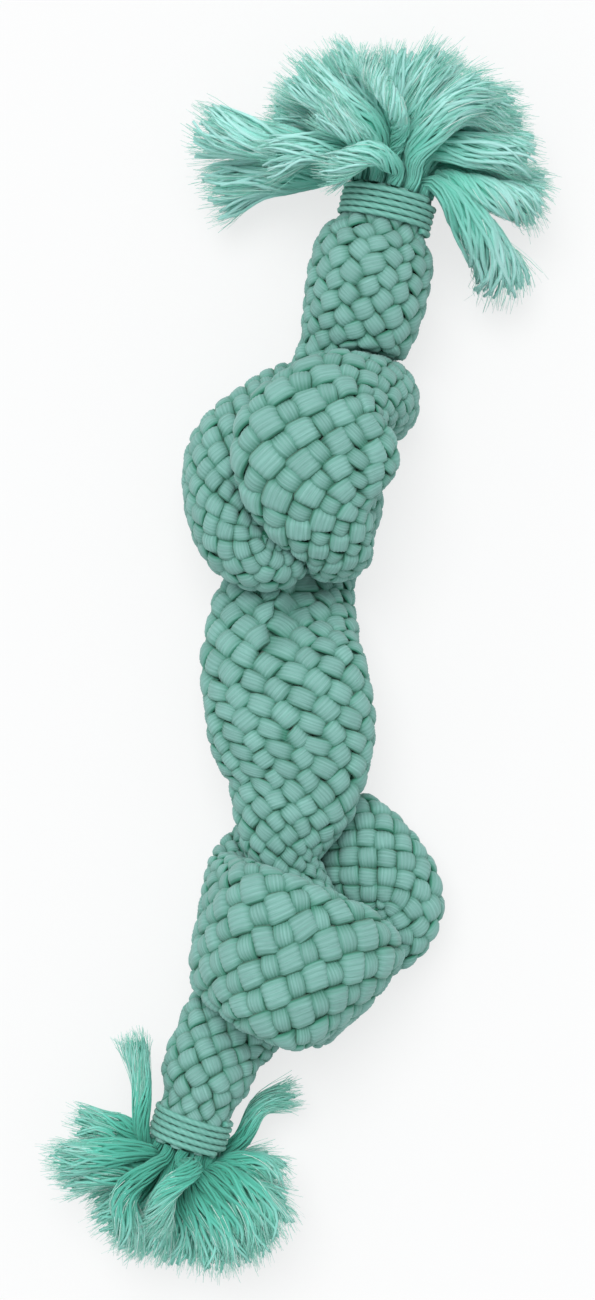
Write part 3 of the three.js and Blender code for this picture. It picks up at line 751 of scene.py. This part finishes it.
stretches = {
    "upper_neck": {"bodies": ("upper_knot", "upper_end"), "from": (12.0, 86.0), "to": (22.0, 115.0)},
    "upper_knot": {"bodies": ("upper_knot",)},
    "middle": {"bodies": ("upper_knot", "lower_knot"), "from": (-3.0, 11.0), "to": (-3.0, -40.0)},
    "lower_knot": {"bodies": ("lower_knot",)},
    "lower_neck": {"bodies": ("lower_knot", "lower_end"), "from": (-21.0, -104.0), "to": (-28.0, -124.0)},
}


def attach(thing, stretch):
    bodies = stretch["bodies"]
    if len(bodies) == 1:
        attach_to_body(thing, bodies[0])
        return
    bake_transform(thing)


for index, (name, stretch) in enumerate(stretches.items()):
    start, end = skin["cuts"][index], skin["cuts"][index + 1]
    for hand, side in ((1, "right"), (-1, "left")):
        for piece in range(braid["pieces"]):
            label = "%s_%s_strands_%d" % (name, side, piece + 1)
            strands = braidFamily(label, hand, start, end, piece)
            attach(strands, stretch)
            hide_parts(name + "_sleeve")
    bar = coreBar(name + "_cords", start, end)
    attach(bar, stretch)
    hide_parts(name + "_core")
    print("braid:", name)


# Whippings: one yarn wound round the rope's end, of plies that twist round each other

whipping = {
    "turns": 5,
    "startAngle": 0.6,
    "pitch": 1.75,
    "diameter": 1.8,
    "setback": 0.4,  # from the rope's end
    "steps": 56,  # in a turn
    "sides": 12,
    "plies": 3,
    "plyDepth": 0.12,
    "plyLength": 7.0,  # mm in which the plies wind round each other once
    "unevenness": 0.12,
    "wobbles": 40,
    "lift": (0.35, 0.35, 0.3),  # painted light and shade: lift everywhere, on the outside away from the rope and on the plies' crests
}


def ropeEnd(name):
    row, inner = (0, 1) if name == "upper" else (-1, -2)
    rows = np.array(ropeRoute, float)
    centre = rows[row, :3] + np.array(rope["offset"])
    out = unit(rows[row, :3] - rows[inner, :3])
    up = np.array((0.0, 0.0, 1.0))
    right = np.cross(out, up)
    right = right if right[0] > 0 else -right
    return {"centre": centre, "out": out, "right": right, "up": up, "diameter": rows[row, 3]}


def woundYarn(name, end, seed):
    # a helix round the rope's end; its section has one bump for each ply, which turns along the yarn
    draw = np.random.default_rng(seed)
    count = whipping["turns"] * whipping["steps"] + 1
    turn = np.arange(count) / whipping["steps"]
    angle = 2 * np.pi * turn + whipping["startAngle"]
    wobbles = draw.normal(0, whipping["unevenness"], whipping["wobbles"])
    wobble = np.interp(np.arange(count), np.linspace(0, count, len(wobbles)), wobbles)
    radius = end["diameter"] / 2 + whipping["diameter"] / 2 + wobble
    depth = whipping["setback"] + whipping["diameter"] / 2 + whipping["pitch"] * turn
    outward = np.cos(angle)[:, None] * end["right"] + np.sin(angle)[:, None] * end["up"]
    centre = end["centre"] - depth[:, None] * end["out"] + radius[:, None] * outward
    forward = unit(np.gradient(centre, axis=0))
    sideways = unit(np.cross(outward, forward))
    upward = np.cross(forward, sideways)
    walked = walkedAlong(centre[None])
    around = 2 * np.pi * np.arange(whipping["sides"]) / whipping["sides"]
    plyTurn = 2 * np.pi * walked[0][:, None] / whipping["plyLength"]
    ply = np.cos(whipping["plies"] * (around[None] + plyTurn))
    size = whipping["diameter"] / 2 * (1 - whipping["plyDepth"] + whipping["plyDepth"] * ply)
    rings = (centre[:, None] + sideways[:, None] * (size * np.cos(around))[..., None]
             + upward[:, None] * (size * np.sin(around))[..., None])[None]
    # painted shade: darker where the yarn lies against the rope and in the grooves between its plies
    base, outside, bulge = whipping["lift"]
    lift = (base + outside * np.sin(around)[None] + bulge * (ply * 0.5 + 0.5))[None]
    return tubesToObject(name, rings, walked, {"lift": np.clip(lift, 0, 1), "tone": 0.5}, looks["yarn"])


ends = {name: ropeEnd(name) for name in ("upper", "lower")}
for seed, name in enumerate(ends):
    yarn = woundYarn(name + "_wound_yarn", ends[name], seed)
    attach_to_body(yarn, name + "_end")
    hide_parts(name + "_whipping")
print("whippings wound")


# Tassels: each tuft is an opened strand, given by three points that it passes (x, y and height over the
# centre plane, three times), its half width near the tip, and its turns of twist

tufts = {"upper": [
    (40, 133, 2.5, 50, 128.5, 3.5, 66, 125.5, -2.5, 4.6, 1.2),
    (41, 127.5, 7.5, 51, 114.5, -0.5, 57, 104.5, -12.5, 5.8, 0.6),
    (31.5, 138.5, 14, 41, 150, 19, 51, 157, 15, 4.6, 0.5),
    (24, 135.5, 16.5, 18.5, 137.5, 22, 6.5, 133, 15.5, 3.4, 0.8),
    (18.5, 140, 14.5, 12, 145, 21, 5.5, 150, 20.5, 3.6, 0.4),
    (15, 138.5, 9.5, 3, 140, 13.5, -10, 137, 9.5, 4.2, 0.3),
    (11, 139, 2.5, -12, 143.5, 3.5, -29, 147, -0.5, 5.2, 0.5),
    (12.5, 136, -7, -10, 135, -8.5, -26, 129.5, -12.5, 5.6, 0.4),
    (15.5, 143, -10, 4, 150, -12.5, -8, 155, -13.5, 4.4, 0.3),
    (24.5, 146, -11.5, 26, 156, -14.5, 28, 166, -15.5, 4.6, 0.3),
    (34, 145, -10.5, 43, 151, -13.5, 54, 157, -14.5, 4.6, 0.3),
    (39, 137, -6.5, 53, 133, -9.5, 68, 131, -12.5, 4.4, 0.4),
    (35.5, 140.5, 5, 49, 140, 7.5, 63, 139.5, 2.5, 4.6, 0.4),
    (32.5, 144, 9.5, 45, 151.5, 11.5, 57.5, 151, 7.5, 4.6, 0.4),
    (27, 144, 15, 25, 150.5, 23, 16.5, 164.5, 17.5, 3, 2.5),
    (21, 144, 9.5, 9.5, 152.5, 13.5, -3, 161, 9.5, 4.6, 0.3),
    (17, 143.5, -2, 6.5, 149.5, -2.5, -8, 152.5, -2.5, 4.4, 0.3),
    (21.5, 146.5, -7, 15, 158, -8.5, 6.5, 166.5, -10.5, 4.6, 0.3),
    (31, 147, -6, 37, 158, -8.5, 46, 162.5, -10.5, 4.6, 0.3),
    (38, 143, -1.5, 49, 147, -2.5, 61.5, 147.5, -5.5, 4.4, 0.3),
    (30, 146.5, 5, 33.5, 157, 8.5, 39.5, 167, 5.5, 4.4, 0.3),
    (23, 147, 3.5, 15, 158.5, 6.5, 7, 167, 4.5, 4.4, 0.3),
    (26, 147, -2, 27.5, 158.5, -0.5, 29.5, 168.5, -2.5, 4.6, 0.3),
], "lower": [
    (-20.5, -143, -0.5, -13.5, -144, -2.5, -7, -148, -5.5, 4, 0.3),
    (-23, -144, 6, -15, -149.5, 8.5, -7, -160, 3.5, 4.2, 0.4),
    (-27, -146.5, 8.5, -19.5, -153.5, 8.5, -11.5, -166, 1.5, 4, 0.4),
    (-29.5, -141.5, 14.5, -37.5, -148.5, 15.5, -41, -159, 10.5, 3, 1),
    (-41, -142, 10.5, -49.5, -150.5, 10.5, -46.5, -164, 3.5, 3.6, 0.5),
    (-42, -138.5, 6, -53, -138.5, 7.5, -69, -142, 1.5, 4, 0.3),
    (-45, -133, 3.5, -45, -119.5, 3.5, -47.5, -107.5, 1.5, 2.6, 0.4),
    (-42.5, -138.5, -5, -51.5, -134, -7.5, -63.5, -134, -10.5, 4.2, 0.3),
    (-42, -145, -8, -49, -149.5, -11.5, -57.5, -157.5, -13.5, 4.2, 0.3),
    (-37, -148, -10.5, -40, -157, -13.5, -42.5, -165.5, -15.5, 4.4, 0.3),
    (-29, -148.5, -9.5, -25.5, -158, -12.5, -21.5, -167, -15.5, 4.4, 0.3),
    (-17, -137, -9, -12, -127.5, -8.5, -2.5, -124.5, -11, 2.6, 0.4),
    (-26.5, -149.5, 2, -15.5, -151, 1.5, -6, -155, -2.5, 4, 0.3),
    (-29.5, -150.5, 5.5, -24.5, -156, 8, -16.5, -168, 1.5, 4, 0.4),
    (-37.5, -148.5, 7.5, -40, -155, 7, -42.5, -166.5, 1, 3.8, 0.3),
    (-42.5, -144.5, 2, -52, -144, 3.5, -66, -146, -2.5, 4, 0.3),
    (-41.5, -147, -3, -47, -153, -4.5, -55, -161.5, -9.5, 4.2, 0.3),
    (-37.5, -149, -6, -42, -158, -8.5, -48.5, -165.5, -12.5, 4.2, 0.3),
    (-32, -149.5, -5.5, -30, -159, -8.5, -27.5, -169, -12.5, 4.2, 0.3),
    (-27, -150.5, -3, -16.5, -145.5, -10, -10, -145, -13.5, 3.8, 0.3),
    (-32, -152, 2, -27, -159, 2.5, -22.5, -171, -2.5, 4.2, 0.4),
    (-37, -149, 2.5, -41.5, -156.5, 0.5, -49.5, -165.5, -5.5, 4.2, 0.3),
    (-35.5, -150, -1.5, -34, -160, -3, -34.5, -170, -7.5, 4.4, 0.3),
]}

tassel = {
    # tufts in a ring, bearing of the first in degrees, and the ring's radius over the rope end's diameter
    "rings": ((12, 0.0, 0.418), (8, 20.0, 0.254), (3, 40.0, 0.093)),
    "rootShare": 0.085,  # half width of a tuft at its root, as a share of that diameter
    "rise": (4.0, 0.8),  # mm that a tuft first runs on along the rope, and outwards
    "measuringSteps": 400,
    "steps": 15,
    "opening": (0.05, 0.6),  # shares of its length between which a tuft opens out
    "flare": 0.45,  # extra spread at the tip, as a share of the half width
    "flaring": (0.65, 1.0),
    "sides": 4,  # of yarns and fibres
    "yarns": 96,
    "yarnFill": 1.3,  # yarn thickness as a share of the room it has
    "yarnPlaces": {"reach": (0.9, 1.1), "turn": (-0.3, 0.3)},  # random shares and angles
    "waviness": 0.4,
    "waves": 1.5,
    "waving": (0.1, 0.5),
    "ragged": 0.14,  # how much shorter the shortest yarns are
    "thinning": 0.6,  # of the yarns towards their tips
    "thinningFrom": 0.7,
    "floorGap": 0.2,
    # painted light: the upper tassel paler and the lower darker, as if lit from above
    "paleness": {"upper": 0.09, "lower": -0.2},
    # painted shade and highlight: deep at a tuft's root and inside it, paler at its rim and towards its
    # tip
    "lift": {"root": 0.15, "rim": 0.45, "tip": 0.4, "tipFrom": 0.35},
    "tuftTone": 0.6,  # share of its tone that a yarn has in common with its tuft
    "pieces": 2,  # meshes that the yarns, and the fibres, are shared out to
    "fibres": 190,
    "fibreSteps": 8,
    "fibreRadius": (0.05, 0.11),
    "fibreTip": 0.5,  # radius left at the tip
    "fibreReach": 0.9,
    "fibreAhead": (0.2, 1.0),  # share of that reach
    "fibrePlaces": (0.4, 1.3),  # squares of their shares of the tuft's half width
    "fibreStart": (0.45, 0.85),  # share of the tuft's length
    "fibreWander": 1.3,  # mm
    "fibreLevel": 0.6,  # share of that up and down
    "fibreFloorGap": 0.4,
}


def tuftSpines(end, rows):
    # a smooth curve from the root on the rope's end, square to it, through the tuft's points
    rings = tassel["rings"]
    turns = [first + 360 / many * np.arange(many) for many, first, _ in rings]
    bearing = np.radians(np.concatenate(turns))
    radius = end["diameter"] * np.concatenate([[share] * many for many, _, share in rings])
    outward = np.cos(bearing)[:, None] * end["right"] + np.sin(bearing)[:, None] * end["up"]
    root = end["centre"] + outward * radius[:, None]
    onward, aside = tassel["rise"]
    rise = root + end["out"] * onward + outward * aside
    points = rows[:, :9].reshape(-1, 3, 3).transpose(1, 0, 2) + np.array(rope["offset"])
    points = np.concatenate([root[None], rise[None], points])
    at = np.linspace(0, len(points) - 1, tassel["measuringSteps"])
    fine = throughRows(points, at).transpose(1, 0, 2)
    walked = walkedAlong(fine)
    shares = np.linspace(0, 1, tassel["steps"])
    spines = np.stack([np.stack([np.interp(shares * walked[t, -1], walked[t], fine[t, :, k])
                                 for k in range(3)], axis=-1) for t in range(len(rows))])
    return spines, outward


def carriedFrames(paths, sideways):
    # each path's direction, and two directions square to it, carried along without turning
    forward = unit(np.gradient(paths, axis=1))
    first = np.empty_like(paths)
    now = sideways
    for step in range(paths.shape[1]):
        now = unit(now - (now * forward[:, step]).sum(1, keepdims=True) * forward[:, step])
        first[:, step] = now
    return forward, first, np.cross(forward, first)


def roundTubes(paths, radii, sides):
    # rings of points square to each path; paths (tube, step, 3), radii (tube, step)
    start = unit(np.gradient(paths, axis=1)[:, 0])
    steep = np.abs(start[:, 2:]) >= 0.9
    _, first, second = carriedFrames(paths, np.where(steep, (1.0, 0.0, 0.0), (0.0, 0.0, 1.0)))
    around = 2 * np.pi * np.arange(sides) / sides
    return (paths[:, :, None] + first[:, :, None] * (radii[..., None] * np.cos(around))[..., None]
            + second[:, :, None] * (radii[..., None] * np.sin(around))[..., None])


def shapeTufts(end, rows):
    # each tuft's curve and the directions square to it, and its half width and turns step by step
    spines, outward = tuftSpines(end, rows)
    forward, first, second = carriedFrames(spines, outward)
    share = np.linspace(0, 1, tassel["steps"])
    half, twist = rows[:, 9:10], rows[:, 10:]
    rootHalf = end["diameter"] * tassel["rootShare"]
    spread = rootHalf + (half - rootHalf) * smoothStep(share, *tassel["opening"])[None]
    spread = spread * (1 + tassel["flare"] * smoothStep(share, *tassel["flaring"])[None])
    return {"spines": spines, "forward": forward, "first": first, "second": second,
            "share": share, "spread": spread, "turns": 2 * np.pi * twist[:, None] * share}


def inTufts(shape, reach, start, wave):
    # paths at a share of each tuft's half width and an angle in its section (tuft, path, step, 3)
    angle = start[..., None] + shape["turns"] + wave
    size = (reach[..., None] * shape["spread"][:, None])[..., None]
    return (shape["spines"][:, None] + size * (np.cos(angle)[..., None] * shape["first"][:, None]
                                               + np.sin(angle)[..., None] * shape["second"][:, None]))


def readPaths(paths, at):
    # points of each path at step numbers with fractions
    low = np.clip(np.floor(at).astype(int), 0, paths.shape[2] - 2)
    mix = (at - low)[..., None]
    tuft, path = np.arange(paths.shape[0])[:, None, None], np.arange(paths.shape[1])[None, :, None]
    return (1 - mix) * paths[tuft, path, low] + mix * paths[tuft, path, low + 1]


def tubePieces(name, kind, parts, paths, radii, lift, tone):
    # round tubes along the paths, one mesh for each part of them
    rings, walked = roundTubes(paths, radii, tassel["sides"]), walkedAlong(paths)
    return [tubesToObject("%s_%ss_%d" % (name, kind, number + 1), rings[part], walked[part],
                          {"lift": lift[part], "tone": tone[part]}, looks[kind])
            for number, part in enumerate(parts)]


def tuftYarns(name, shape, draw):
    # yarns fill each tuft's round section evenly, turn with its twist, spread to the tip and end ragged
    share, yarns = shape["share"], tassel["yarns"]
    count, steps = shape["spread"].shape
    order = np.arange(yarns)
    reach = np.sqrt((order + 0.5) / yarns)
    goldenAngle = 2.39996
    phase = draw.random((count, yarns, 1)) * 2 * np.pi
    wave = tassel["waviness"] * np.sin(2 * np.pi * tassel["waves"] * share + phase)
    wave = wave * smoothStep(share, *tassel["waving"])
    jitter = draw.uniform(*tassel["yarnPlaces"]["reach"], (count, yarns))
    turn = draw.uniform(*tassel["yarnPlaces"]["turn"], (count, yarns))
    paths = inTufts(shape, reach * jitter, order * goldenAngle + turn, wave)
    last = 1 - tassel["ragged"] * draw.random((count, yarns))
    paths = readPaths(paths, share * last[..., None] * (steps - 1))
    thick = (shape["spread"] / math.sqrt(yarns) * tassel["yarnFill"])[:, None] * np.ones((1, yarns, 1))
    thick = thick * (1 - tassel["thinning"] * smoothStep(share, tassel["thinningFrom"], 1.0))
    paths[..., 2] = np.maximum(paths[..., 2], thick + tassel["floorGap"])
    paths, thick = paths.reshape(-1, steps, 3), thick.reshape(-1, steps)

    # painted shade inside each tuft and near its root, painted highlight at its rim and towards its tip
    pale, common = tassel["lift"], tassel["tuftTone"]
    rim = np.tile(reach, count)[:, None]
    lift = (tassel["paleness"][name] + pale["root"] + pale["rim"] * rim
            + pale["tip"] * smoothStep(share, pale["tipFrom"], 1.0)[None])
    tone = np.repeat(draw.random(count), yarns) * common + (1 - common) * draw.random(count * yarns)
    groups = np.array_split(np.arange(count), tassel["pieces"])
    parts = [(group[:, None] * yarns + order).ravel() for group in groups]
    pieces = tubePieces(name, "tuft", parts, paths, thick, lift[..., None], tone[:, None, None])
    for piece, group in zip(pieces, groups):
        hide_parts(*["%s_tuft_%02d" % (name, i + 1) for i in group])
    return pieces


def looseFibres(name, shape, draw):
    # fine fibres that leave the outer part of each tuft and wander off beyond its tip
    size = (len(shape["spines"]), tassel["fibres"])
    reach = np.sqrt(draw.uniform(*tassel["fibrePlaces"], size))
    start = draw.random(size) * 2 * np.pi
    whole = inTufts(shape, reach, start, 0.0)
    begin = draw.uniform(*tassel["fibreStart"], size + (1,))
    along = np.linspace(0, 1, tassel["fibreSteps"])
    paths = readPaths(whole, (begin + (1 - begin) * along) * (whole.shape[2] - 1))
    level = np.array((1, 1, tassel["fibreLevel"]))
    wander = draw.normal(0, 1, size + (1, 3)) * level * tassel["fibreWander"]
    ahead = shape["forward"][:, None, -1:] * draw.uniform(*tassel["fibreAhead"], size + (1, 1))
    paths = paths + along[:, None] ** 2 * (wander + ahead * tassel["fibreReach"])
    paths[..., 2] = np.maximum(paths[..., 2], tassel["fibreFloorGap"])
    paths = paths.reshape(-1, len(along), 3)
    thin = draw.uniform(*tassel["fibreRadius"], (len(paths), 1))
    thin = thin * np.linspace(1, tassel["fibreTip"], len(along))
    lift = draw.random((len(paths), 1, 1)) ** 2
    parts = np.array_split(np.arange(len(paths)), tassel["pieces"])
    return tubePieces(name, "fibre", parts, paths, thin, lift, np.full_like(lift, 0.5))


for seed, name in ((11, "upper"), (12, "lower")):
    draw = np.random.default_rng(seed)
    shape = shapeTufts(ends[name], np.array(tufts[name], float))
    for piece in tuftYarns(name, shape, draw) + looseFibres(name, shape, draw):
        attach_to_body(piece, name + "_end")
    print("tassel:", name, len(tufts[name]), "tufts")
